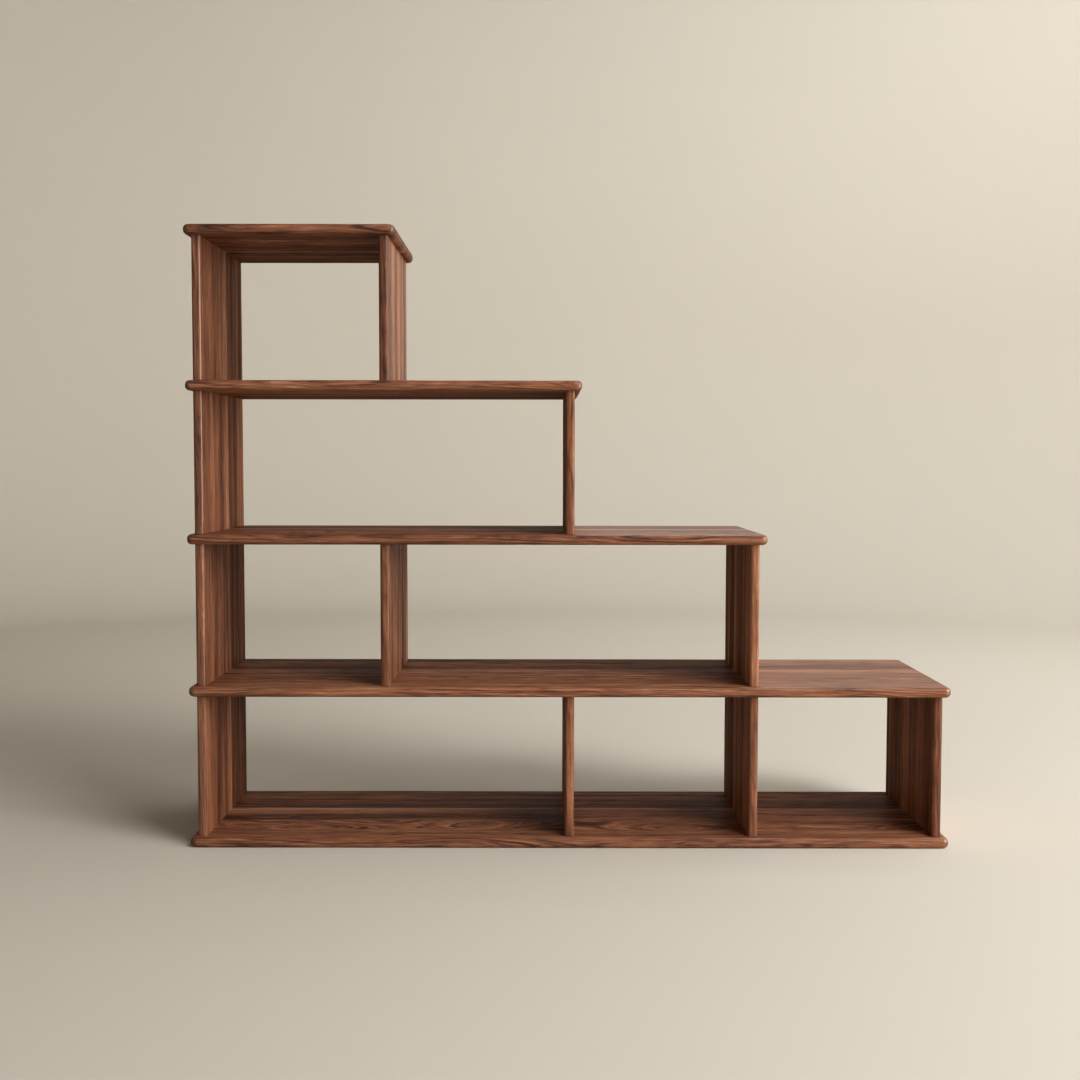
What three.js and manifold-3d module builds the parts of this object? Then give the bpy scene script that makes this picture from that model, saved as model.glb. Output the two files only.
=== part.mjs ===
// A staircase bookshelf in solid walnut: five boards, with edges rounded almost to half circles, on
// eleven uprights. From the third board up, each board is shorter than the one below. Hidden beech
// dowels join each upright to the boards below and above it.
// Lengths are in millimetres. The origin is on the floor under the middle of the base board. +X runs
// to the right as seen from the front, the front faces -Y, and +Z is up.

import * as THREE from 'three';
import { mergeVertices } from 'three/addons/utils/BufferGeometryUtils.js';
import Module from 'manifold-3d';

// Driving dimensions
const overallWidth = 1500;
const boardDepth = 400;
const boardThickness = 20;
const boardEdgeRadius = 8.5; // of a board's edges, above and below, all the way round
const topCornerRadius = 6.5; // of a board's flat top, in plan
const uprightThickness = 18;
const uprightEdgeRadius = 6.5; // of an upright's four standing edges
const clearHeight = 280; // from one board up to the next
const endOverhang = 14; // a board's end, past the outer face of the upright under it
const edgeSetback = 14; // an upright's front and back edges, behind the boards' edges

// Dowels, two in each place where an upright meets a board
const dowelDiameter = 8;
const dowelChamfer = 1;
const dowelEmbedment = 25; // its length inside an upright
const dowelSetback = 60; // its axis, from the upright's front or back edge
const blindFloor = 6; // wood left in a board beyond a blind hole
const holeClearance = 0.3; // between a dowel and the wall of its hole
const holeEndClearance = 1; // between a dowel's end and the end of its hole
const cutOverrun = 2; // how far a cutting cylinder stands out of the mouth of its hole

// Columns are counted from the left, and each row lists the columns where a level has an upright.
const columnCount = 5;
const columnsOfLevels = [
  [0, 2, 3, 4],
  [0, 1, 3],
  [0, 2],
  [0, 1],
];
const boardNames = ['base_board', 'step_board_1', 'step_board_2', 'step_board_3', 'top_board'];
const columnLetters = ['a', 'b', 'c', 'd', 'e'];

// Facets of the round shapes
const edgeArcSteps = 4; // around a quarter of a board's edge
const cornerArcSteps = 4; // around a board's corner in plan
const uprightArcSteps = 4; // around one edge of an upright
const dowelSides = 12;

// Sizes that follow
const uprightDepth = boardDepth - 2 * edgeSetback;
const levelRise = clearHeight + boardThickness;
const endMargin = endOverhang + uprightThickness / 2; // from a board's end to the nearest upright's middle
const columnSpacing = (overallWidth - 2 * endMargin) / (columnCount - 1);
const dowelRadius = dowelDiameter / 2;
const holeRadius = dowelRadius + holeClearance;
const dowelPlaces = [
  { side: 'front', y: dowelSetback - uprightDepth / 2 },
  { side: 'back', y: uprightDepth / 2 - dowelSetback },
];

const walnut = { color: 0x6b4531, roughness: 0.5, metalness: 0 };
const beech = { color: 0xc9a273, roughness: 0.65, metalness: 0 };

const wasm = await Module();
wasm.setup();

function solidFrom(geometry) {
  geometry.deleteAttribute('normal');
  geometry.deleteAttribute('uv');
  const merged = mergeVertices(geometry);
  return new wasm.Manifold(new wasm.Mesh({
    numProp: 3,
    vertProperties: merged.attributes.position.array,
    triVerts: merged.index.array,
  }));
}

function geometryFrom(solid) {
  const { vertProperties, triVerts } = solid.getMesh();
  const geometry = new THREE.BufferGeometry();
  geometry.setAttribute('position', new THREE.BufferAttribute(vertProperties, 3));
  geometry.setIndex(new THREE.BufferAttribute(triVerts, 1));
  geometry.computeVertexNormals();
  return geometry;
}

function columnX(column) {
  return (column - (columnCount - 1) / 2) * columnSpacing;
}

// An upright cylinder that cuts a dowel hole between two heights.
function holeCutter(x, y, low, high) {
  const geometry = new THREE.CylinderGeometry(holeRadius, holeRadius, high - low, dowelSides);
  geometry.rotateX(Math.PI / 2);
  geometry.translate(x, y, (low + high) / 2);
  return solidFrom(geometry);
}

function cutHoles(body, cutters) {
  return geometryFrom(cutters.reduce((rest, cutter) => rest.subtract(cutter), solidFrom(body)));
}

// The plan of a board at one height of its rounded edge: a rectangle with round corners.
function boardOutline(length, inset) {
  const halfLength = length / 2 - inset;
  const halfDepth = boardDepth / 2 - inset;
  const radius = topCornerRadius + boardEdgeRadius - inset;
  const corners = [
    { x: halfLength - radius, y: halfDepth - radius, turn: 0 },
    { x: radius - halfLength, y: halfDepth - radius, turn: 1 },
    { x: radius - halfLength, y: radius - halfDepth, turn: 2 },
    { x: halfLength - radius, y: radius - halfDepth, turn: 3 },
  ];
  const points = [];
  for (const corner of corners) {
    for (let step = 0; step <= cornerArcSteps; step += 1) {
      const angle = (corner.turn + step / cornerArcSteps) * (Math.PI / 2);
      points.push(new THREE.Vector2(
        corner.x + radius * Math.cos(angle),
        corner.y + radius * Math.sin(angle),
      ));
    }
  }
  return points;
}

// The profile of a board's edge, from the rim of the flat underside to the rim of the flat top: a
// quarter circle below, a narrow upright band, and a quarter circle above.
function boardEdgeProfile() {
  const quarters = [
    { centre: boardEdgeRadius, start: -Math.PI / 2 },
    { centre: boardThickness - boardEdgeRadius, start: 0 },
  ];
  const profile = [];
  for (const { centre, start } of quarters) {
    for (let step = 0; step <= edgeArcSteps; step += 1) {
      const angle = start + (step / edgeArcSteps) * (Math.PI / 2);
      profile.push({
        inset: boardEdgeRadius * (1 - Math.cos(angle)),
        height: centre + boardEdgeRadius * Math.sin(angle),
      });
    }
  }
  return profile;
}

// A board without holes, centred in plan, with its underside at zero. Its rings climb the profile.
function boardBody(length) {
  const positions = [];
  const indices = [];
  let ringSize = 0;
  const profile = boardEdgeProfile();
  for (const { inset, height } of profile) {
    const outline = boardOutline(length, inset);
    outline.forEach((point) => positions.push(point.x, point.y, height));
    ringSize = outline.length;
  }
  for (let ring = 0; ring < profile.length - 1; ring += 1) {
    for (let i = 0; i < ringSize; i += 1) {
      const next = (i + 1) % ringSize;
      const here = ring * ringSize;
      const above = here + ringSize;
      indices.push(here + i, here + next, above + next);
      indices.push(here + i, above + next, above + i);
    }
  }
  const topRing = (profile.length - 1) * ringSize;
  for (let i = 1; i < ringSize - 1; i += 1) {
    indices.push(0, i + 1, i);
    indices.push(topRing, topRing + i, topRing + i + 1);
  }
  const geometry = new THREE.BufferGeometry();
  geometry.setAttribute('position', new THREE.Float32BufferAttribute(positions, 3));
  geometry.setIndex(indices);
  return geometry;
}

// An upright without holes, centred in plan, with its foot at zero and its standing edges rounded.
function uprightBody() {
  const x = uprightThickness / 2 - uprightEdgeRadius;
  const y = uprightDepth / 2 - uprightEdgeRadius;
  const centres = [[x, y], [-x, y], [-x, -y], [x, -y]];
  const outline = new THREE.Shape();
  centres.forEach(([centreX, centreY], turn) => {
    const start = turn * (Math.PI / 2);
    outline.absarc(centreX, centreY, uprightEdgeRadius, start, start + Math.PI / 2);
  });
  return new THREE.ExtrudeGeometry(outline, {
    depth: clearHeight,
    bevelEnabled: false,
    curveSegments: uprightArcSteps,
  });
}

// A dowel with chamfered ends, standing on zero.
function dowelGeometry(length) {
  const profile = [
    new THREE.Vector2(0, 0),
    new THREE.Vector2(dowelRadius - dowelChamfer, 0),
    new THREE.Vector2(dowelRadius, dowelChamfer),
    new THREE.Vector2(dowelRadius, length - dowelChamfer),
    new THREE.Vector2(dowelRadius - dowelChamfer, length),
    new THREE.Vector2(0, length),
  ];
  const geometry = new THREE.LatheGeometry(profile, dowelSides);
  geometry.rotateX(Math.PI / 2);
  return geometry;
}

function namedMesh(name, geometry, finish) {
  const mesh = new THREE.Mesh(geometry, new THREE.MeshStandardMaterial(finish));
  mesh.name = name;
  return mesh;
}

// The heights of a hole, and of its dowel, from a board's underside. A hole is blind where only one
// upright meets the board, and goes through where one stands under the board and one on it.
function holeSpan(hasBelow, hasAbove, reach, floorGap) {
  return {
    low: hasBelow ? -reach : blindFloor + floorGap,
    high: hasAbove ? boardThickness + reach : boardThickness - blindFloor - floorGap,
  };
}

function makeBoard(index) {
  const below = columnsOfLevels[index - 1] ?? [];
  const above = columnsOfLevels[index] ?? [];
  const columns = [...new Set([...below, ...above])];
  const lastX = columnX(Math.max(...columns));
  const length = lastX - columnX(0) + 2 * endMargin;
  const centreX = (lastX + columnX(0)) / 2;
  const cutters = [];
  const group = new THREE.Group();
  group.position.z = index * levelRise;
  for (const column of columns) {
    const hasBelow = below.includes(column);
    const hasAbove = above.includes(column);
    const hole = holeSpan(hasBelow, hasAbove, cutOverrun, 0);
    const dowel = holeSpan(hasBelow, hasAbove, dowelEmbedment, holeEndClearance);
    for (const { side, y } of dowelPlaces) {
      cutters.push(holeCutter(columnX(column) - centreX, y, hole.low, hole.high));
      const name = `${boardNames[index]}_dowel_${columnLetters[column]}_${side}`;
      const mesh = namedMesh(name, dowelGeometry(dowel.high - dowel.low), beech);
      mesh.position.set(columnX(column), y, dowel.low);
      group.add(mesh);
    }
  }
  const board = namedMesh(boardNames[index], cutHoles(boardBody(length), cutters), walnut);
  board.position.x = centreX;
  group.add(board);
  return group;
}

// The outer uprights of a level are its sides, and those between them are its dividers.
function uprightName(level, column) {
  const columns = columnsOfLevels[level];
  if (column === columns[0]) return `level_${level + 1}_left_side`;
  if (column === columns.at(-1)) return `level_${level + 1}_right_side`;
  return `level_${level + 1}_divider_${columnLetters[column]}`;
}

function makeLevel(level) {
  const reach = dowelEmbedment + holeEndClearance;
  const group = new THREE.Group();
  group.position.z = level * levelRise + boardThickness;
  for (const column of columnsOfLevels[level]) {
    const cutters = dowelPlaces.flatMap(({ y }) => [
      holeCutter(0, y, -cutOverrun, reach),
      holeCutter(0, y, clearHeight - reach, clearHeight + cutOverrun),
    ]);
    const upright = namedMesh(uprightName(level, column), cutHoles(uprightBody(), cutters), walnut);
    upright.position.x = columnX(column);
    group.add(upright);
  }
  return group;
}

const bookshelf = new THREE.Group();
boardNames.forEach((name, index) => bookshelf.add(makeBoard(index)));
columnsOfLevels.forEach((columns, level) => bookshelf.add(makeLevel(level)));

export default bookshelf;
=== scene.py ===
"""A staircase bookshelf in oiled walnut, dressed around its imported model.

Five boards with rounded edges and eleven uprights are joined by hidden fluted dowels. Lengths are in
metres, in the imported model's own frame: +X runs to the right as seen from the front, the front faces
-Y, and +Z is up.
"""

import logging
import math
import random
from dataclasses import dataclass
from enum import Enum
from typing import Any, ClassVar, Optional, Sequence, Union

import bmesh
import bpy
from mathutils import Matrix, Vector


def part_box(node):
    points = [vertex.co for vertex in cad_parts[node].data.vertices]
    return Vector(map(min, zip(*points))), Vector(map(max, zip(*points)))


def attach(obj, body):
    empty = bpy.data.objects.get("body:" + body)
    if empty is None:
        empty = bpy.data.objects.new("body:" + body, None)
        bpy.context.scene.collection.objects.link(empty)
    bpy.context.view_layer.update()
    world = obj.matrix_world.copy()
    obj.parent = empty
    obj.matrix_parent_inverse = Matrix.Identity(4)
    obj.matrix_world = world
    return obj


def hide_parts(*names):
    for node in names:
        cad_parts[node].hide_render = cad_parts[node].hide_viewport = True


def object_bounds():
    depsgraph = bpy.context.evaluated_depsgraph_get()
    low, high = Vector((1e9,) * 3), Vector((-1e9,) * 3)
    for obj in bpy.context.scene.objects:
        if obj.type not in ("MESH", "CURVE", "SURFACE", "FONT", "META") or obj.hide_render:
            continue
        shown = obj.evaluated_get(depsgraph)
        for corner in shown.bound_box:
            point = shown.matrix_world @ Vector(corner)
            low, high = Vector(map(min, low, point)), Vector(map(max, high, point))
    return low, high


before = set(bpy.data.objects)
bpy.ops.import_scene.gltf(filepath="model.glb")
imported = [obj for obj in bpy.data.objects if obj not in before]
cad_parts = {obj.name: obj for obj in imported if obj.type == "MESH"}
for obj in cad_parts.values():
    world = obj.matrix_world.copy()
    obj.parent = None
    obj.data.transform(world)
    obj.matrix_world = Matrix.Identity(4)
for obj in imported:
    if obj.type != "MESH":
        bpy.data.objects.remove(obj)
cad_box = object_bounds()

log = logging.getLogger("bookshelf")

MM = 0.001
BODY = "root"
FAR_LEFT = -10.0  # an X to the left of every piece
NOISE_MEAN = 0.5

# How much lighter than usual a panel's front stave is, and its other staves: partly the staves' own tone,
# partly painted light and painted shade that offset how the lamps fall on each panel
PANEL_TONES_AND_PAINTED_LIGHT: dict[str, tuple[float, float]] = {
    "base_board": (-0.06, -0.06),
    "step_board_1": (0.08, 0.02),
    "step_board_2": (-0.06, 0.02),
    "step_board_3": (0.09, 0.07),
    "top_board": (-0.12, 0.08),
    "level_1_left_side": (-0.03, -0.10),
    "level_1_divider_c": (0.10, 0.0),
    "level_1_right_side": (-0.26, 0.04),
    "level_2_left_side": (-0.02, -0.06),
    "level_2_divider_b": (-0.12, 0.05),
    "level_2_right_side": (0.23, 0.03),
    "level_3_left_side": (-0.08, 0.09),
    "level_4_left_side": (-0.10, 0.05),
    "level_4_right_side": (-0.19, -0.02),
}

Outline = list[tuple[float, float]]
Ring = list[tuple[float, float, float]]
Colour = tuple[float, float, float, float]
Stops = Sequence[tuple[float, Colour]]
Socket = bpy.types.NodeSocket
Sockets = dict[Union[str, int], Any]


class Grain(Enum):
    """The way a panel's fibres run."""

    SIDEWAYS = "sideways"
    UPWARDS = "upwards"


class Slot(Enum):
    """The record's material slots."""

    WALNUT = "walnut"
    BEECH = "dowel_beech"


class Between(Enum):
    """What a ramp shows between its stops."""

    BLENDED = "LINEAR"
    STEPPED = "CONSTANT"


def srgb(red: int, green: int, blue: int) -> Colour:
    """Turns a screen colour into the linear colour that a shader takes.

    Args:
        red: The red level, 0 to 255.
        green: The green level, 0 to 255.
        blue: The blue level, 0 to 255.

    Returns:
        The linear colour, opaque.
    """
    def linear(level: int) -> float:
        """Undoes the screen's curve for one level."""
        share = level / 255
        return share / 12.92 if share <= 0.04045 else ((share + 0.055) / 1.055) ** 2.4

    return linear(red), linear(green), linear(blue), 1.0


# Shader maths


class Value:
    """A number that varies over a surface: a node's output, with arithmetic."""

    def __init__(self, graph: "ShaderGraph", socket: Socket) -> None:
        """Wraps a socket.

        Args:
            graph: The material's graph that the socket is in.
            socket: The output that gives the number.
        """
        self.graph = graph
        self.socket = socket

    def math(self, operation: str, *others: "Number") -> "Value":
        """Adds a Math node.

        Args:
            operation: The node's operation.
            others: The numbers that follow this one.

        Returns:
            The node's result.
        """
        return self.graph.math(operation, self, *others)

    def __add__(self, other: "Number") -> "Value":
        """This plus another."""
        return self.math("ADD", other)

    __radd__ = __add__

    def __sub__(self, other: "Number") -> "Value":
        """This less another."""
        return self.math("SUBTRACT", other)

    def __rsub__(self, other: "Number") -> "Value":
        """Another less this."""
        return self.graph.math("SUBTRACT", other, self)

    def __mul__(self, other: "Number") -> "Value":
        """This times another."""
        return self.math("MULTIPLY", other)

    __rmul__ = __mul__

    def __truediv__(self, other: "Number") -> "Value":
        """This over another."""
        return self.math("DIVIDE", other)

    def __abs__(self) -> "Value":
        """This without its sign."""
        return self.math("ABSOLUTE")

    def fraction(self) -> "Value":
        """What is left over from the whole number below."""
        return self.math("FRACT")

    def floor(self) -> "Value":
        """The whole number below."""
        return self.math("FLOOR")

    def root(self) -> "Value":
        """The square root."""
        return self.math("SQRT")

    def centred(self) -> "Value":
        """This noise, moved so that its mean is 0."""
        return self - NOISE_MEAN

    def step(self, low: float, high: float) -> "Value":
        """Rises smoothly from 0 to 1.

        Args:
            low: Where the rise starts.
            high: Where it ends. It may be the lower one, and then the result falls.

        Returns:
            The smooth step.
        """
        settings = {"interpolation_type": "SMOOTHSTEP"}
        inputs = {"Value": self, "From Min": low, "From Max": high, "To Min": 0.0, "To Max": 1.0}
        return self.graph.value("ShaderNodeMapRange", "Result", settings, inputs)


Number = Union[Value, float, int]


class ShaderGraph:
    """One material's nodes."""

    MIX_FACTOR = 0
    MIX_FIRST_COLOUR = 6
    MIX_SECOND_COLOUR = 7
    MIX_RESULT_COLOUR = 2

    def __init__(self, name: str) -> None:
        """Makes an empty material.

        Args:
            name: The material's name.
        """
        self.material = bpy.data.materials.new(name)
        self.material.use_nodes = True
        self.tree = self.material.node_tree
        self.tree.nodes.clear()

    def node(self, kind: str, settings: Optional[dict[str, Any]] = None,
             inputs: Optional[Sockets] = None) -> bpy.types.Node:
        """Adds any node.

        Args:
            kind: The node's type.
            settings: Its own settings.
            inputs: What its sockets get, by name or number: a Value, a socket, or a constant.

        Returns:
            The new node.
        """
        made = self.tree.nodes.new(kind)
        for key, setting in (settings or {}).items():
            setattr(made, key, setting)
        for key, given in (inputs or {}).items():
            if isinstance(given, Value):
                self.tree.links.new(given.socket, made.inputs[key])
            elif isinstance(given, Socket):
                self.tree.links.new(given, made.inputs[key])
            else:
                made.inputs[key].default_value = given
        return made

    def value(self, kind: str, output: Union[str, int], settings: Optional[dict[str, Any]] = None,
              inputs: Optional[Sockets] = None) -> Value:
        """Adds a node and wraps one of its outputs.

        Args:
            kind: The node's type.
            output: The output wanted, by name or number.
            settings: The node's own settings.
            inputs: What its sockets get.

        Returns:
            The output as a number.
        """
        return Value(self, self.node(kind, settings, inputs).outputs[output])

    def math(self, operation: str, *numbers: Number) -> Value:
        """Adds a Math node.

        Args:
            operation: The node's operation.
            numbers: What it works on, in order.

        Returns:
            The node's result.
        """
        return self.value("ShaderNodeMath", "Value", {"operation": operation}, dict(enumerate(numbers)))

    def vector(self, x: Number, y: Number, z: Number) -> Socket:
        """Joins three numbers into a vector.

        Args:
            x: The first number.
            y: The second.
            z: The third.

        Returns:
            The vector's socket.
        """
        return self.node("ShaderNodeCombineXYZ", None, {0: x, 1: y, 2: z}).outputs[0]

    def split(self, vector: Socket) -> tuple[Value, Value, Value]:
        """Takes a vector or a colour apart.

        Args:
            vector: The socket that gives it.

        Returns:
            Its three numbers.
        """
        parts = self.node("ShaderNodeSeparateXYZ", None, {0: vector}).outputs
        return Value(self, parts[0]), Value(self, parts[1]), Value(self, parts[2])

    def place(self) -> tuple[Value, Value, Value]:
        """Where a point lies, along X, Y and Z."""
        return self.split(self.node("ShaderNodeTexCoord").outputs["Object"])

    def noise(self, vector: Socket, detail: float = 2.0, roughness: float = 0.5) -> Value:
        """Adds smooth noise, from about 0.2 to 0.8.

        Args:
            vector: Where it is read, scaled so that one unit is one lump.
            detail: How many finer layers it has.
            roughness: How strong the finer layers are.

        Returns:
            The noise.
        """
        inputs = {"Vector": vector, "Scale": 1.0, "Detail": detail, "Roughness": roughness}
        return self.value("ShaderNodeTexNoise", 0, {"noise_dimensions": "3D"}, inputs)

    def ramp(self, position: Value, stops: Stops,
             between: Between = Between.BLENDED) -> Socket:
        """Turns a number into a colour.

        Args:
            position: The number.
            stops: The ramp's positions, rising, each with its colour.
            between: What it shows between the stops.

        Returns:
            The colour's socket.
        """
        made = self.node("ShaderNodeValToRGB", None, {"Fac": position})
        elements = made.color_ramp.elements
        while len(elements) < len(stops):
            elements.new(1.0)
        for element, (place, colour) in zip(elements, stops):
            element.position = place
            element.color = colour
        made.color_ramp.interpolation = between.value
        return made.outputs["Color"]

    def mix(self, factor: Number, first: Any, second: Any) -> Socket:
        """Lays one colour over another.

        Args:
            factor: How much of the second shows.
            first: The colour below.
            second: The colour above.

        Returns:
            The colour's socket.
        """
        inputs = {self.MIX_FACTOR: factor, self.MIX_FIRST_COLOUR: first, self.MIX_SECOND_COLOUR: second}
        return self.node("ShaderNodeMix", {"data_type": "RGBA"}, inputs).outputs[self.MIX_RESULT_COLOUR]

    def surface(self, colour: Any, roughness: Number, height: Optional[Value] = None,
                relief: float = 0.0, **others: Number) -> bpy.types.Material:
        """Ends the graph in a Principled shader.

        Args:
            colour: The base colour.
            roughness: The roughness.
            height: The surface's height, as a share of its relief.
            relief: The depth of that relief, in metres.
            others: Other sockets of the shader, with underscores for the spaces in their names.

        Returns:
            The finished material.
        """
        inputs: Sockets = {"Base Color": colour, "Roughness": roughness}
        inputs.update({name.replace("_", " "): number for name, number in others.items()})
        if height is not None:
            bump = self.node("ShaderNodeBump", None, {"Strength": 1.0, "Distance": relief, "Height": height})
            inputs["Normal"] = bump.outputs["Normal"]
        shader = self.node("ShaderNodeBsdfPrincipled", None, inputs)
        self.node("ShaderNodeOutputMaterial", None, {"Surface": shader.outputs["BSDF"]})
        return self.material


# Finishes


@dataclass(frozen=True)
class Stave:
    """One glued strip of a panel.

    Attributes:
        start_share: Where it starts, as a share of the panel's depth from the front.
        front_tone: How light its front edge is, from 0 to 1.
        back_tone: How light its back edge is, from 0 to 1.
        pith_share: Where the log's pith lies beside it, from 0 to 1 over the log's spread.
        depth_share: How far from the pith it was sawn, from 0 to 1.
        figure_share: How much its rings stray, from 0, straight, to 1, swirling.
    """

    start_share: float
    front_tone: float
    back_tone: float
    pith_share: float
    depth_share: float
    figure_share: float


@dataclass(frozen=True)
class Rubbing:
    """Which face of a panel is an outside one, rubbed to a sheen with a last coat of oil.

    Attributes:
        outwards: The way that the outside face looks.
        start: Where that face starts along X.
        fade: How far to either side of its start the sheen fades.
        share: How much of the last coat it got.
        edge_share: How much of it the round edges got.
        clearer_share: How much clearer the figure shows through it.
    """

    outwards: tuple[float, float, float]
    start: float = FAR_LEFT
    fade: float = 6 * MM
    share: float = 1.0
    edge_share: float = 0.6
    clearer_share: float = 0.0


@dataclass(frozen=True)
class Layer:
    """Noise that follows the growth rings.

    Attributes:
        per_ring: How many lumps a ring holds.
        along: How many a metre along the fibres holds.
        shift: How far one stave's lumps lie from the next one's.
        across: How many a metre across the panel holds.
        detail: How many finer layers it has.
        roughness: How strong those are.
    """

    per_ring: float
    along: float
    shift: float
    across: float = 0.0
    detail: float = 1.0
    roughness: float = 0.5

    def draw(self, ring: Value, along: Value, across: Value, own: Value) -> Value:
        """Makes the layer's noise.

        Args:
            ring: The number of the ring that a point is in.
            along: Its place along the fibres.
            across: Its place across the panel.
            own: The share that sets its stave apart.

        Returns:
            The noise.
        """
        shifted = across * self.across + own * self.shift
        spot = ring.graph.vector(ring * self.per_ring, along * self.along, shifted)
        return ring.graph.noise(spot, self.detail, self.roughness)


@dataclass(frozen=True)
class Weights:
    """How much each line of the wood lightens or darkens it.

    Attributes:
        bands: The broad bands, at a panel's front.
        face_bands: How much more they count on a flat face.
        streaks: The streaks, at a panel's front.
        streak_rise: How much more they count at its back.
        fibres: The bundles of fibres.
        strands: The strands.
        dark_dashes: The dark dashes.
        light_dashes: The light dashes.
        late_wood: The late wood.
        veins: The dark veins.
    """

    bands: float = 0.30
    face_bands: float = 0.8
    streaks: float = 1.1
    streak_rise: float = 0.4
    fibres: float = 0.6
    strands: float = 0.8
    dark_dashes: float = 0.17
    light_dashes: float = 0.10
    late_wood: float = 0.20
    veins: float = 0.24


@dataclass(frozen=True)
class Balance:
    """How the figure is shared out over one kind of panel.

    Attributes:
        band_rise: How much more the bands count at its back than at its front.
        edge_calm: The share of the figure that its round edges lack.
        face_calm: The share of the fine figure that its flat faces lack.
    """

    band_rise: float
    edge_calm: float
    face_calm: float


@dataclass(frozen=True)
class Walnut:
    """Oiled walnut, glued up from staves that were each sawn from a log of their own.

    Attributes:
        ring_width: The mean width of a growth ring.
        log_spread: How far to either side the pith may lie, from end to end.
        pith_nearest: The least distance from the pith to a stave.
        pith_spread: How much further it may be.
        swirl: How far the rings of a figured stave stray.
        eye_height: How far they rise round a hidden knot.
        ripple: How far the rings of every stave stray over a short way.
        taper: How much the rings close up along the log, per metre.
        fibre_width: The width of a bundle of fibres.
        fibre_length: Its length.
        strand_width: The width of a strand, which holds many bundles.
        strand_length: Its length.
        strand_follow: How far strands follow the rings where those stray.
        bands: Broad bands of many rings.
        streaks: Long streaks.
        dashes: Short dashes.
        veins: Thin veins, where this noise passes its mean.
        weights: How much each line counts.
        board_balance: How a board's figure is shared out.
        upright_balance: How an upright's figure is shared out.
        colours: The wood's colours, from dark to light.
        pore_colour: The colour of the open pores.
        edge_colour: The grey that the round edges take on.
        end_colour: The colour of end grain.
        lift: How much lighter than its tone the wood is.
        joint_share: The width over which the tone changes at a joint, as a share of the depth.
        relief: The depth of the grain.
        roughness: The oil's roughness on plain wood.
        gloss: The strength of its mirror-like part, as the shader counts it.
        plain_sheen: How much of the last coat an inside face holds.
        lit_sheen: How much of it an inside face holds that looks up or to the right.
        sheen: How much of it a rubbed face holds.
        edge_sheen: How much of it the round edges hold.
        sheen_roughness: How dull that coat is.
    """

    ring_width: float = 3.6 * MM
    log_spread: float = 0.80
    pith_nearest: float = 25 * MM
    pith_spread: float = 110 * MM
    swirl: float = 42 * MM
    eye_height: float = 26 * MM
    ripple: float = 5 * MM
    taper: float = 0.016
    fibre_width: float = 1.1 * MM
    fibre_length: float = 45 * MM
    strand_width: float = 2.2 * MM
    strand_length: float = 85 * MM
    strand_follow: float = 0.6
    bands: Layer = Layer(per_ring=0.12, along=0.8, shift=57)
    streaks: Layer = Layer(per_ring=1.25, along=4.5, shift=33, across=18, detail=2.0, roughness=0.62)
    dashes: Layer = Layer(per_ring=1.5, along=25.0, shift=47, across=75)
    veins: Layer = Layer(per_ring=0.45, along=3.5, shift=37)
    weights: Weights = Weights()
    board_balance: Balance = Balance(band_rise=0.25, edge_calm=0.12, face_calm=0.12)
    upright_balance: Balance = Balance(band_rise=0.6, edge_calm=0.40, face_calm=0.35)
    colours: Stops = (
        (0.00, srgb(50, 29, 21)),
        (0.25, srgb(84, 50, 36)),
        (0.50, srgb(121, 76, 53)),
        (0.75, srgb(150, 101, 73)),
        (1.00, srgb(184, 136, 106)),
    )
    pore_colour: Colour = srgb(54, 31, 22)
    edge_colour: Colour = srgb(120, 100, 92)
    end_colour: Colour = srgb(88, 68, 60)
    lift: float = 0.03
    joint_share: float = 0.004
    relief: float = 0.05 * MM
    roughness: float = 0.64
    gloss: float = 0.0
    plain_sheen: float = 0.055
    lit_sheen: float = 0.09
    sheen: float = 0.44
    edge_sheen: float = 0.40
    sheen_roughness: float = 0.38

    def material(self, name: str, grain: Grain, box: "Box", staves: Sequence[Stave],
                 rubbing: Rubbing) -> bpy.types.Material:
        """Makes the finish of one panel.

        Args:
            name: The panel's name.
            grain: The way its fibres run.
            box: The space that it fills.
            staves: Its strips, from the front to the back.
            rubbing: Its outside face.

        Returns:
            The material.
        """
        graph = ShaderGraph(f"walnut_{name}")
        weights = self.weights
        x, across, z = graph.place()
        if grain is Grain.SIDEWAYS:
            along, through, balance = x, z - box.centre.z, self.board_balance
        else:
            along, through, balance = z, x - box.centre.x, self.upright_balance
        share = (across - box.low.y) / box.size.y
        cuts = [(s.start_share, (s.pith_share, s.depth_share, s.figure_share, 1.0)) for s in staves]
        pith, depth, figure = graph.split(graph.ramp(share, cuts, Between.STEPPED))
        tone = self._tone(share, staves)

        rings, strayed = self._rings(along, across, through, (pith, depth, figure))
        ring = rings / self.ring_width
        part = ring.fraction()
        late = part.step(0.40, 0.90) * part.step(1.0, 0.93)
        own_strength = graph.vector(ring.floor() * 0.37 + pith * 91, along * 1.5, 0.0)
        strength = graph.noise(own_strength, detail=0.0)
        bands = self.bands.draw(ring, along, across, pith)
        streaks = self.streaks.draw(ring, along, across, pith)
        dashes = self.dashes.draw(ring, along, across, depth)
        veins = abs(self.veins.draw(ring, along, across, pith).centred())
        bundle = graph.vector(across / self.fibre_width, through / self.fibre_width,
                              along / self.fibre_length + pith * 71)
        fibres = graph.noise(bundle, detail=2.0, roughness=0.6)
        strand = graph.vector((across + strayed * self.strand_follow) / self.strand_width,
                              (through + strayed * self.strand_follow) / self.strand_width,
                              along / self.strand_length + pith * 53)
        strands = graph.noise(strand, detail=1.0)
        pores = fibres.step(0.54, 0.70) * streaks.step(0.60, 0.42)

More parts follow.
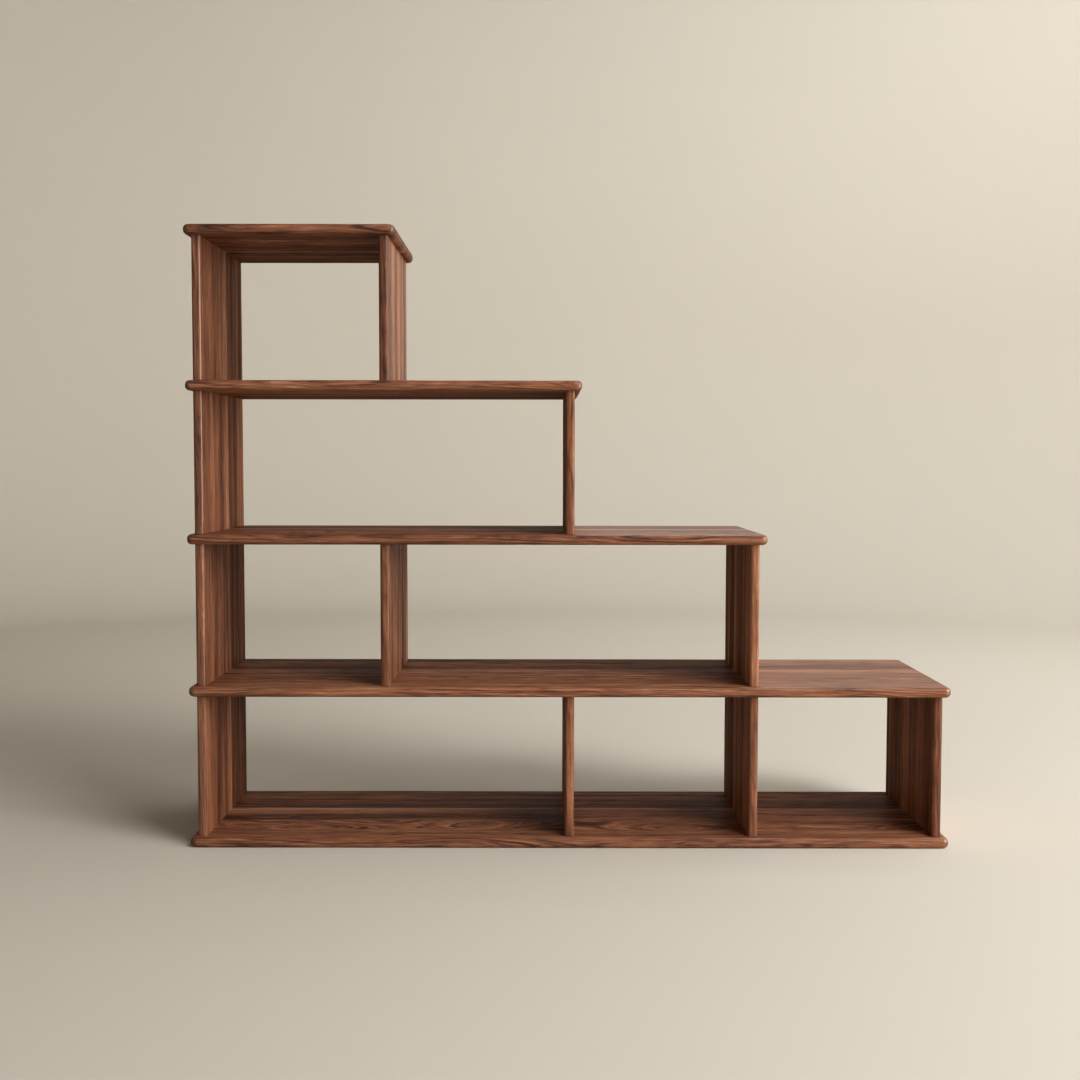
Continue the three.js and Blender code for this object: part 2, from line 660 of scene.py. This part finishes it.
        normal = graph.split(graph.node("ShaderNodeNewGeometry").outputs["Normal"])
        end_grain = abs(normal[0] if grain is Grain.SIDEWAYS else normal[2]).step(0.20, 0.75)
        edge = abs(normal[1]).step(0.3, 0.9)
        outwards = sum((side * way for side, way in zip(normal, rubbing.outwards) if way), 0.0)
        begun = x.step(rubbing.start - rubbing.fade, rubbing.start + rubbing.fade)
        outside = outwards.step(0.85, 0.98) * begun
        face = 1.0 - edge
        broad = bands.centred() * (share * balance.band_rise + weights.bands)
        fine = (streaks.centred() * (share * weights.streak_rise + weights.streaks)
                + fibres.centred() * weights.fibres + strands.centred() * weights.strands
                - dashes.step(0.54, 0.66) * weights.dark_dashes
                + dashes.step(0.44, 0.32) * weights.light_dashes
                - late * strength.step(0.38, 0.62) * weights.late_wood
                - veins.step(0.045, 0.0) * weights.veins)
        details = broad * (1.0 + face * weights.face_bands) + fine * (1.0 - face * balance.face_calm)
        clearness = 1.0 - edge * balance.edge_calm + outside * rubbing.clearer_share
        # Faces that look to the front or back are painted 2 % darker: painted shade that tones down the
        # lamps' light on the fronts
        shade = self.lift + tone - edge * 0.02 + details * clearness

        colour = graph.ramp(shade, self.colours)
        colour = graph.mix(pores * 0.45, colour, self.pore_colour)
        colour = graph.mix(edge * 0.05, colour, self.edge_colour)
        colour = graph.mix(end_grain * 0.75, colour, self.end_colour)
        lit = (normal[0] + normal[2]).step(0.4, 0.9)
        coat = lit * (self.lit_sheen - self.plain_sheen) + self.plain_sheen
        rounded = abs(normal[1]).step(0.03, 0.25) * (self.edge_sheen * rubbing.edge_share)
        coat = coat.math("MAXIMUM", rounded)
        coat = coat.math("MAXIMUM", outside * (self.sheen * rubbing.share))
        coat = coat * (1.0 - end_grain * 0.5)
        rough = self.roughness + pores * 0.16 + end_grain * 0.15 - streaks.centred() * 0.10
        height = 0.6 + fibres.centred() * 0.5 - pores * 0.5
        return graph.surface(colour, rough, height, self.relief, Specular_IOR_Level=self.gloss,
                             Coat_Weight=coat, Coat_Roughness=self.sheen_roughness)

    def _tone(self, share: Value, staves: Sequence[Stave]) -> Value:
        """Finds how light the wood is on the whole.

        Args:
            share: The place across the panel, as a share from the front.
            staves: The panel's strips.

        Returns:
            The tone, from 0 to 1.
        """
        stops = []
        ends = [s.start_share for s in staves[1:]] + [1.0]
        for stave, end in zip(staves, ends):
            stops.append((stave.start_share, (stave.front_tone,) * 3 + (1.0,)))
            stops.append((end - self.joint_share, (stave.back_tone,) * 3 + (1.0,)))
        return share.graph.split(share.graph.ramp(share, stops))[0]

    def _rings(self, along: Value, across: Value, through: Value,
               cut: tuple[Value, Value, Value]) -> tuple[Value, Value]:
        """Finds the distance from the log's pith.

        Args:
            along: The place along the fibres.
            across: The place across the panel.
            through: The place through the panel's thickness.
            cut: The stave's pith share, depth share and figure share.

        Returns:
            The distance, in metres, with the log's own bends, and how much of it the figure adds.
        """
        graph = along.graph
        pith, depth, figure = cut
        own = pith * 83 + depth * 29
        swirl = graph.noise(graph.vector(along * 3.0 + own, across * 9, through * 9), detail=1.0)
        ripple = graph.noise(graph.vector(along * 9 + own, across * 26, through * 26), detail=2.0)
        near_knot = graph.value("ShaderNodeTexVoronoi", "Distance", {"voronoi_dimensions": "3D"},
                                {"Vector": graph.vector(along * 2.2 + own, across * 6, 0.0), "Scale": 1.0})
        sideways = across - (pith - 0.5) * self.log_spread
        outwards = through + self.pith_nearest + depth * self.pith_spread
        distance = (sideways * sideways + outwards * outwards).root()
        strayed = (swirl.centred() * self.swirl + near_knot.step(0.55, 0.0) * self.eye_height) * figure
        rings = distance + strayed + ripple.centred() * self.ripple + along * self.taper + 1.0
        return rings, strayed


@dataclass(frozen=True)
class Beech:
    """Plain turned beech, as the dowels are.

    Attributes:
        fleck_width: The width of a fleck.
        fleck_length: Its length along the dowel.
        colours: The wood's colours, from dark to light.
        relief: The depth of the fibres.
        roughness: The roughness of the bare wood.
    """

    fleck_width: float = 0.5 * MM
    fleck_length: float = 4 * MM
    colours: Stops = ((0.15, srgb(164, 119, 78)), (0.50, srgb(203, 164, 120)), (0.85, srgb(224, 192, 152)))
    relief: float = 0.03 * MM
    roughness: float = 0.62

    def material(self) -> bpy.types.Material:
        """Makes the finish that all dowels share.

        Returns:
            The material.
        """
        graph = ShaderGraph("dowel_beech")
        x, y, z = graph.place()
        spot = graph.vector(x / self.fleck_width, y / self.fleck_width, z / self.fleck_length)
        flecks = graph.noise(spot, detail=2.0, roughness=0.6)
        clouds = graph.noise(graph.vector(x * 9, y * 9, z * 9), detail=1.0)
        colour = graph.ramp(flecks.centred() * 0.9 + clouds.centred() * 0.6 + 0.5, self.colours)
        return graph.surface(colour, self.roughness + flecks.centred() * 0.2, flecks, self.relief)


@dataclass(frozen=True)
class PaleFloor:
    """The studio's pale matt floor and backdrop.

    Attributes:
        colour: Its colour.
        cloud_colour: The darker colour of its soft clouds.
        cloud_share: How much of that colour shows.
        roughness: Its roughness.
    """

    colour: Colour = srgb(202, 196, 185)
    cloud_colour: Colour = srgb(192, 186, 175)
    cloud_share: float = 0.12
    roughness: float = 0.75

    def material(self) -> bpy.types.Material:
        """Makes the floor's finish.

        Returns:
            The material.
        """
        graph = ShaderGraph("pale_floor")
        x, y, z = graph.place()
        clouds = graph.noise(graph.vector(x * 0.7, y * 0.7, z * 0.7), detail=3.0)
        colour = graph.mix(clouds.step(0.3, 0.7) * self.cloud_share, self.colour, self.cloud_colour)
        return graph.surface(colour, self.roughness, Specular_IOR_Level=0.0)


# Meshes


def loft(name: str, rings: Sequence[Ring]) -> bpy.types.Mesh:
    """Joins rings of equally many points into one closed mesh with flat ends.

    Args:
        name: The mesh's name.
        rings: The rings, from the lowest to the highest, each anticlockwise from above.

    Returns:
        The mesh.
    """
    work = bmesh.new()
    made = [[work.verts.new(point) for point in ring] for ring in rings]
    for lower, upper in zip(made, made[1:]):
        for i in range(len(lower)):
            j = (i + 1) % len(lower)
            work.faces.new((lower[i], lower[j], upper[j], upper[i]))
    work.faces.new(list(reversed(made[0])))
    work.faces.new(made[-1])
    mesh = bpy.data.meshes.new(name)
    work.to_mesh(mesh)
    work.free()
    return mesh


def arc(centre: tuple[float, float], radius: float, start: float, turn: float, steps: int) -> Outline:
    """Points on a round stretch, both ends included.

    Args:
        centre: Its middle.
        radius: Its radius.
        start: The angle of its first point, in radians.
        turn: The angle that it covers.
        steps: How many chords it is drawn with.

    Returns:
        The points.
    """
    angles = [start + turn * i / steps for i in range(steps + 1)]
    return [(centre[0] + radius * math.cos(a), centre[1] + radius * math.sin(a)) for a in angles]


def place_object(name: str, data: bpy.types.ID) -> bpy.types.Object:
    """Puts a mesh, a light or a camera into the scene as an object at the origin.

    Args:
        name: The object's name.
        data: What it shows.

    Returns:
        The object.
    """
    made = bpy.data.objects.new(name, data)
    bpy.context.scene.collection.objects.link(made)
    return made


@dataclass(frozen=True)
class Box:
    """The space that a node fills at rest.

    Attributes:
        low: Its lowest corner.
        high: Its highest corner.
    """

    low: Vector
    high: Vector

    @classmethod
    def of_node(cls, node: str) -> "Box":
        """Reads a node's box from the frame."""
        return cls(*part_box(node))

    @property
    def size(self) -> Vector:
        """The box's three sizes."""
        return self.high - self.low

    @property
    def centre(self) -> Vector:
        """The box's middle."""
        return (self.low + self.high) / 2

    def meets(self, other: "Box") -> bool:
        """Whether the two boxes share some space."""
        return all(self.low[i] < other.high[i] and other.low[i] < self.high[i] for i in range(3))


# Pieces


@dataclass
class Dowel:
    """A fluted beech dowel with chamfered ends.

    Attributes:
        node: The node that it stands for.
        box: The space that it fills.
        flutes: How many glue channels run along it.
        flute_depth: How deep they are.
        chamfer: How far its ends are broken.
        points_per_flute: How many points a flute is drawn with.
        hole_sides: How many flats its hole has.
    """

    node: str
    box: Box
    flutes: int = 16
    flute_depth: float = 0.35 * MM
    chamfer: float = 1.0 * MM
    points_per_flute: int = 6
    hole_sides: int = 32

    def _ring(self, shrink: float, height: float) -> Ring:
        """One ring of the fluted side.

        Args:
            shrink: How far it is drawn in.
            height: Where it lies along Z.

        Returns:
            The ring's points.
        """
        count = self.flutes * self.points_per_flute
        ring = []
        for i in range(count):
            angle = 2 * math.pi * i / count
            channel = (0.5 - 0.5 * math.cos(angle * self.flutes)) ** 2
            radius = self.box.size.x / 2 - shrink - self.flute_depth * channel
            ring.append((self.box.centre.x + radius * math.cos(angle),
                         self.box.centre.y + radius * math.sin(angle), height))
        return ring

    def build(self) -> bpy.types.Object:
        """Makes the dowel.

        Returns:
            Its object.
        """
        low, high = self.box.low.z, self.box.high.z
        rings = [
            self._ring(self.chamfer, low),
            self._ring(0.0, low + self.chamfer),
            self._ring(0.0, high - self.chamfer),
            self._ring(self.chamfer, high),
        ]
        made = place_object(f"{self.node}_fluted", loft(self.node, rings))
        made.data.set_sharp_from_angle(angle=math.radians(35))
        return made

    def cutter(self, clearance: float, end_clearance: float) -> bpy.types.Mesh:
        """The plain cylinder that bores this dowel's hole.

        Args:
            clearance: The gap round the dowel.
            end_clearance: The gap past each of its ends.

        Returns:
            The cylinder.
        """
        radius = self.box.size.x / 2 + clearance
        middle = (self.box.centre.x, self.box.centre.y)
        plan = arc(middle, radius, 0.0, 2 * math.pi, self.hole_sides)[:-1]
        heights = (self.box.low.z - end_clearance, self.box.high.z + end_clearance)
        return loft(f"{self.node}_hole", [[(*point, height) for point in plan] for height in heights])


@dataclass
class Panel:
    """What boards and uprights share: a walnut body bored for its dowels.

    Attributes:
        node: The node that it stands for.
        box: The space that it fills.
        staves: Its glued strips, from the front to the back.
        rubbing: Its outside face.
        hole_clearance: The gap round a dowel.
        hole_end_clearance: The gap past a dowel's end.
        rim: How far in from the rounding the flat faces get a supporting edge.
        edge_steps: Chords round a quarter of a rounded edge.
    """

    grain: ClassVar[Grain] = Grain.SIDEWAYS

    node: str
    box: Box
    staves: list[Stave]
    rubbing: Rubbing
    hole_clearance: float = 0.3 * MM
    hole_end_clearance: float = 1.0 * MM
    rim: float = 0.8 * MM
    edge_steps: int = 12

    def body(self) -> bpy.types.Mesh:
        """The panel's mesh before boring."""
        raise NotImplementedError

    def build(self, dowels: Sequence[Dowel]) -> bpy.types.Object:
        """Makes the panel's object, bored for the dowels that reach into it.

        Args:
            dowels: Every dowel of the bookshelf.

        Returns:
            The object.
        """
        made = place_object(f"{self.node}_walnut", self.body())
        holes = bmesh.new()
        for dowel in dowels:
            if dowel.box.meets(self.box):
                cutter = dowel.cutter(self.hole_clearance, self.hole_end_clearance)
                holes.from_mesh(cutter)
                bpy.data.meshes.remove(cutter)
        cutters = bpy.data.meshes.new(f"{self.node}_holes")
        holes.to_mesh(cutters)
        holes.free()
        drill = place_object(f"{self.node}_drill", cutters)
        bore = made.modifiers.new("bore", "BOOLEAN")
        bore.operation = "DIFFERENCE"
        bore.solver = "EXACT"
        bore.object = drill
        settled = made.evaluated_get(bpy.context.evaluated_depsgraph_get())
        bored = bpy.data.meshes.new_from_object(settled)
        made.modifiers.clear()
        made.data = bored
        bpy.data.objects.remove(drill)
        made.data.set_sharp_from_angle(angle=math.radians(30))
        return made

    def dress(self, made: bpy.types.Object, finish: Walnut) -> None:
        """Gives the panel its wood.

        Args:
            made: The panel's object.
            finish: The wood.
        """
        wood = finish.material(self.node, self.grain, self.box, self.staves, self.rubbing)
        made.data.materials.clear()
        made.data.materials.append(wood)


@dataclass
class Board(Panel):
    """A board with heavily rounded edges and softly rounded corners in plan.

    Attributes:
        edge_radius: The radius of its edges, above and below.
        top_corner_radius: The radius of its flat top's corners.
        corner_steps: Chords round a corner in plan.
    """

    edge_radius: float = 8.5 * MM
    top_corner_radius: float = 6.5 * MM
    corner_steps: int = 12

    def _outline(self, inset: float) -> Outline:
        """The board's plan.

        Args:
            inset: How far it is drawn in.

        Returns:
            Its points, anticlockwise from above.
        """
        half = self.box.size / 2
        radius = self.top_corner_radius + self.edge_radius - inset
        reach = (half.x - inset - radius, half.y - inset - radius)
        outline: Outline = []
        for quarter, (side_x, side_y) in enumerate(((1, 1), (-1, 1), (-1, -1), (1, -1))):
            middle = (self.box.centre.x + side_x * reach[0], self.box.centre.y + side_y * reach[1])
            outline += arc(middle, radius, quarter * math.pi / 2, math.pi / 2, self.corner_steps)
        return outline

    def body(self) -> bpy.types.Mesh:
        """Makes the board before boring.

        Returns:
            Its mesh.
        """
        radius, thickness = self.edge_radius, self.box.size.z
        profile = [(radius + self.rim, 0.0)]
        for height, start in ((radius, -math.pi / 2), (thickness - radius, 0.0)):
            profile += [(radius - reach, height + rise) for reach, rise
                        in arc((0.0, 0.0), radius, start, math.pi / 2, self.edge_steps)]
        profile += [(radius + self.rim, thickness)]
        rings = [[(x, y, self.box.low.z + rise) for x, y in self._outline(inset)] for inset, rise in profile]
        return loft(self.node, rings)


@dataclass
class Upright(Panel):
    """An upright with heavily rounded front and back edges.

    Attributes:
        edge_radius: The radius of those edges, at each side.
        arris: How far the sharp edges of its two ends are broken.
    """

    grain: ClassVar[Grain] = Grain.UPWARDS

    edge_radius: float = 6.5 * MM
    arris: float = 0.35 * MM

    def _outline(self, inset: float) -> Outline:
        """The upright's plan.

        Args:
            inset: How far it is drawn in.

        Returns:
            Its points, anticlockwise from above.
        """
        radius = self.edge_radius
        reach = (self.box.size.x / 2 - radius, self.box.size.y / 2 - radius)
        outline: Outline = []
        for quarter, (side_x, side_y) in enumerate(((1, 1), (-1, 1), (-1, -1), (1, -1))):
            middle = (self.box.centre.x + side_x * reach[0], self.box.centre.y + side_y * reach[1])
            corner = arc(middle, radius - inset, quarter * math.pi / 2, math.pi / 2, self.edge_steps)
            end = corner[0] if side_x == side_y else corner[-1]
            support = (end[0], end[1] - side_y * self.rim)
            outline += [support, *corner] if side_x == side_y else [*corner, support]
        return outline

    def body(self) -> bpy.types.Mesh:
        """Makes the upright before boring.

        Returns:
            Its mesh.
        """
        low, high = self.box.low.z, self.box.high.z
        profile = [(self.arris, low), (0.0, low + self.arris), (0.0, high - self.arris), (self.arris, high)]
        return loft(self.node, [[(x, y, rise) for x, y in self._outline(inset)] for inset, rise in profile])


@dataclass(frozen=True)
class StaveCutting:
    """How the staves of a panel are laid out and drawn from the pile.

    Attributes:
        figure_shares: How much the rings of each stave stray.
        start_shares: Where the staves start, as shares of the depth from the front.
        front_tones: How light each stave's front edge is.
        back_tones: How light its back edge is.
        start_play: How far a joint may lie off its usual place.
        tone_play: How far a stave's tone may lie off its usual one.
        pith_play: How far beside a straight stave its pith lies, at least and at most.
        log_part: The share of its logs' spread before a panel's front, and that of its depth.
    """

    figure_shares: tuple[float, ...]
    start_shares: tuple[float, ...] = (0.0, 0.17, 0.36, 0.47, 0.60, 0.80)
    front_tones: tuple[float, ...] = (0.51, 0.51, 0.47, 0.48, 0.38, 0.40)
    back_tones: tuple[float, ...] = (0.53, 0.50, 0.47, 0.86, 0.38, 0.42)
    start_play: float = 0.012
    tone_play: float = 0.035
    pith_play: tuple[float, float] = (0.3, 0.9)
    log_part: tuple[float, float] = (0.25, 0.5)

    def cut(self, seed: str) -> list[Stave]:
        """Draws the staves of one panel.

        Args:
            seed: The panel's name, which fixes the draw.

        Returns:
            The staves, from the front to the back.
        """
        draw = random.Random(seed)
        # These offsets are partly the panel's own tone, partly painted light and painted shade against how
        # the lamps fall on it
        front_lighter, rest_lighter = PANEL_TONES_AND_PAINTED_LIGHT.get(seed, (0.0, 0.0))
        before, depth = self.log_part
        staves = []
        ends = self.start_shares[1:] + (1.0,)
        rows = zip(self.start_shares, ends, self.front_tones, self.back_tones, self.figure_shares)
        for start, end, front, back, figure in rows:
            shifted = start + draw.uniform(-self.start_play, self.start_play) if start else 0.0
            lighter = draw.uniform(-self.tone_play, self.tone_play)
            lighter += rest_lighter if start else front_lighter
            aside = draw.choice((-1, 1)) * (1.0 - figure) * draw.uniform(*self.pith_play)
            beside = (start + end) / 2 + aside
            pith = min(max(before + depth * beside, 0.0), 1.0)
            staves.append(Stave(shifted, front + lighter, back + lighter, pith, draw.random(), figure))
        return staves


@dataclass
class Bookshelf:
    """The whole object: boards, uprights and dowels.

    Attributes:
        walnut: The panels' finish.
        beech: The dowels' finish.
        board_cutting: How the boards' staves are drawn.
        upright_cutting: How the uprights' staves are drawn.
    """

    walnut: Walnut = Walnut()
    beech: Beech = Beech()
    board_cutting: StaveCutting = StaveCutting(figure_shares=(0.40, 0.95, 0.75, 0.4, 0.3, 0.35))
    upright_cutting: StaveCutting = StaveCutting(figure_shares=(0.22, 0.5, 0.35, 0.2, 0.2, 0.25),
                                                 front_tones=(0.51, 0.51, 0.47, 0.48, 0.42, 0.44),
                                                 back_tones=(0.53, 0.50, 0.47, 0.77, 0.44, 0.47))

    def build(self) -> None:
        """Makes, dresses and reports every piece."""
        names = sorted(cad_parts)
        dowels = [Dowel(name, Box.of_node(name)) for name in names if "_dowel_" in name]
        others = [name for name in names if "_dowel_" not in name]
        for name in others:
            upright = name.startswith("level_")
            kind = Upright if upright else Board
            cutting = self.upright_cutting if upright else self.board_cutting
            panel = kind(name, Box.of_node(name), cutting.cut(name), self._rubbing(name, others))
            made = panel.build(dowels)
            panel.dress(made, self.walnut)
            self._settle(made, name, Slot.WALNUT)
        beech = self.beech.material()
        for dowel in dowels:
            made = dowel.build()
            made.data.materials.append(beech)
            self._settle(made, dowel.node, Slot.BEECH)

    @staticmethod
    def _rubbing(name: str, panels: Sequence[str]) -> Rubbing:
        """Finds a panel's outside face.

        Args:
            name: The panel's node.
            panels: The nodes of all panels.

        Returns:
            The outer face of a side, the right face of a divider, or the step of a board's top.
        """
        if name.endswith("_left_side"):
            return Rubbing((-1.0, 0.0, 0.0), edge_share=1.2)
        if name.endswith("_right_side"):
            return Rubbing((1.0, 0.0, 0.0), edge_share=0.2, clearer_share=0.3)
        if name.startswith("level_"):
            return Rubbing((1.0, 0.0, 0.0), share=0.4, clearer_share=0.6)
        top = Box.of_node(name).high.z
        uprights = [Box.of_node(other) for other in panels if other.startswith("level_")]
        ends = [box.high.x for box in uprights if abs(box.low.z - top) < MM]
        return Rubbing((0.0, 0.0, 1.0), start=max(ends, default=FAR_LEFT))

    @staticmethod
    def _settle(made: bpy.types.Object, node: str, slot: Slot) -> None:
        """Smooths a piece, gives it to the frame and reports it.

        Args:
            made: The piece.
            node: The node that it stands for.
            slot: The record's slot that its finish belongs to; not used.
        """
        made.data.polygons.foreach_set("use_smooth", [True] * len(made.data.polygons))
        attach(made, BODY)
        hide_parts(node)
        log.info("%s: %d faces", made.name, len(made.data.polygons))


# Studio


@dataclass
class Softbox:
    """A soft rectangular light that points at a place.

    Attributes:
        name: Its name.
        place: Where it hangs.
        target: What it points at.
        width: Its width.
        height: Its height.
        watts: Its power.
        colour: Its colour.
        lights: Whether it lights what it falls on.
        mirrored: Whether it shows in glossy surfaces.
    """

    name: str
    place: Vector
    target: Vector
    width: float
    height: float
    watts: float
    colour: Colour = srgb(253, 252, 250)
    lights: bool = True
    mirrored: bool = True

    @classmethod
    def round(cls, name: str, middle: Vector, turn: float, rise: float, reach: float,
              **rest: Any) -> "Softbox":
        """A light that hangs somewhere round the object and points at it.

        Args:
            name: The light's name.
            middle: The middle of the object.
            turn: How far round from the front it hangs, to the right, in degrees.
            rise: How high it hangs, in degrees.
            reach: How far away it hangs.
            rest: Its size, its power and what it lights, as the fields name them.

        Returns:
            The light.
        """
        around, above = math.radians(turn), math.radians(rise)
        level = math.cos(above)
        way = Vector((math.sin(around) * level, -math.cos(around) * level, math.sin(above)))
        return cls(name, middle + reach * way, middle, **rest)

    def hang(self) -> None:
        """Puts the light into the scene, hidden from the camera itself."""
        lamp = bpy.data.lights.new(self.name, "AREA")
        lamp.shape = "RECTANGLE"
        lamp.size = self.width
        lamp.size_y = self.height
        lamp.energy = self.watts
        lamp.color = self.colour[:3]
        made = place_object(self.name, lamp)
        made.location = self.place
        made.rotation_euler = (self.target - self.place).to_track_quat("-Z", "Y").to_euler()
        made.visible_camera = False
        made.visible_diffuse = self.lights
        made.visible_glossy = self.mirrored
        log.info("%s: %.0f W", self.name, self.watts)


@dataclass
class Studio:
    """A pale floor that turns up into a round backdrop, with soft light and the photo's camera.

    Attributes:
        floor: The floor's finish.
        floor_radius: The radius of the flat floor.
        cove_radius: The radius of the turn up.
        wall_height: The backdrop's height.
        around_steps: Chords round the floor.
        cove_steps: Chords up the turn.
    """

    floor: PaleFloor
    floor_radius: float = 4.2
    cove_radius: float = 1.6
    wall_height: float = 5.0
    around_steps: int = 96
    cove_steps: int = 16

    def build_floor(self) -> None:
        """Makes the floor with its backdrop, open at the top."""
        profile = [(self.floor_radius, 0.0)]
        profile += [(self.floor_radius + x, self.cove_radius + y) for x, y
                    in arc((0.0, 0.0), self.cove_radius, -math.pi / 2, math.pi / 2, self.cove_steps)]
        profile += [(self.floor_radius + self.cove_radius, self.wall_height)]
        work = bmesh.new()
        rings = []
        for radius, height in profile:
            plan = arc((0.0, 0.0), radius, 0.0, 2 * math.pi, self.around_steps)[:-1]
            rings.append([work.verts.new((x, y, height)) for x, y in plan])
        for lower, upper in zip(rings, rings[1:]):
            for i in range(self.around_steps):
                j = (i + 1) % self.around_steps
                work.faces.new((lower[i], upper[i], upper[j], lower[j]))
        work.faces.new(rings[0])
        mesh = bpy.data.meshes.new("floor")
        work.to_mesh(mesh)
        work.free()
        made = place_object("floor", mesh)
        mesh.polygons.foreach_set("use_smooth", [True] * len(mesh.polygons))
        mesh.materials.append(self.floor.material())

    def light(self, middle: Vector) -> None:
        """Hangs the lights and sets the sky.

        Args:
            middle: The middle of the object.
        """
        lamps = (
            Softbox.round("low_key", middle, turn=56, rise=8, reach=4.8,
                          width=3.0, height=1.8, watts=195.0, mirrored=False),
            Softbox.round("side_key", middle, turn=90, rise=22, reach=4.8,
                          width=2.4, height=2.4, watts=90.0, mirrored=False),
            Softbox.round("high_key", middle, turn=42, rise=38, reach=4.8,
                          width=2.4, height=2.4, watts=165.0, mirrored=False),
            Softbox.round("shoulder_strip", middle, turn=87, rise=14, reach=3.6,
                          width=2.0, height=2.6, watts=1150.0, colour=srgb(255, 226, 200), lights=False),
            Softbox.round("overhead_strip", middle, turn=58, rise=62, reach=3.4,
                          width=1.4, height=1.4, watts=60.0, lights=False),
            Softbox.round("top_rim", middle, turn=172, rise=48, reach=4.0,
                          width=3.0, height=1.0, watts=190.0, lights=False),
            Softbox("backdrop", place=Vector((2.0, 1.8, 4.4)), target=Vector((2.6, 5.4, 1.6)),
                    width=3.0, height=1.0, watts=120.0),
        )
        for lamp in lamps:
            lamp.hang()
        world = bpy.data.worlds.new("sky")
        world.use_nodes = True
        sky = world.node_tree.nodes["Background"]
        sky.inputs["Color"].default_value = srgb(250, 230, 206)
        sky.inputs["Strength"].default_value = 0.065
        bpy.context.scene.world = world

    def set_camera(self) -> None:
        """Stands the camera where the photograph was taken from."""
        focal_pixels = 1374.4
        frame_pixels = 1080.0
        sensor = 36.0
        aside, distance, height = -0.0542, 2.6728, 0.7604
        place = Vector((aside, cad_box[0].y - distance, height))
        pitch, roll, yaw = 0.0562, 0.0011, -0.0017
        ahead = Vector((math.sin(yaw) * math.cos(pitch), math.cos(yaw) * math.cos(pitch), -math.sin(pitch)))
        right = Vector((math.cos(yaw), -math.sin(yaw), 0.0))
        up = right.cross(ahead)
        rolled_right = math.cos(roll) * right + math.sin(roll) * up
        rolled_up = math.cos(roll) * up - math.sin(roll) * right
        lens = bpy.data.cameras.new("camera")
        lens.sensor_width = sensor
        lens.lens = sensor * focal_pixels / frame_pixels
        made = place_object("camera", lens)
        turn = Matrix((rolled_right, rolled_up, -ahead)).transposed().to_4x4()
        made.matrix_world = Matrix.Translation(place) @ turn
        bpy.context.scene.camera = made


def main() -> None:
    """Builds the bookshelf, the studio round it and the camera."""
    logging.basicConfig(level=logging.INFO, format="%(name)s: %(message)s")
    Bookshelf().build()
    studio = Studio(PaleFloor())
    studio.build_floor()
    studio.light((cad_box[0] + cad_box[1]) / 2)
    studio.set_camera()
    bpy.context.scene.view_settings.view_transform = "Standard"


if __name__ == "__main__":
    main()
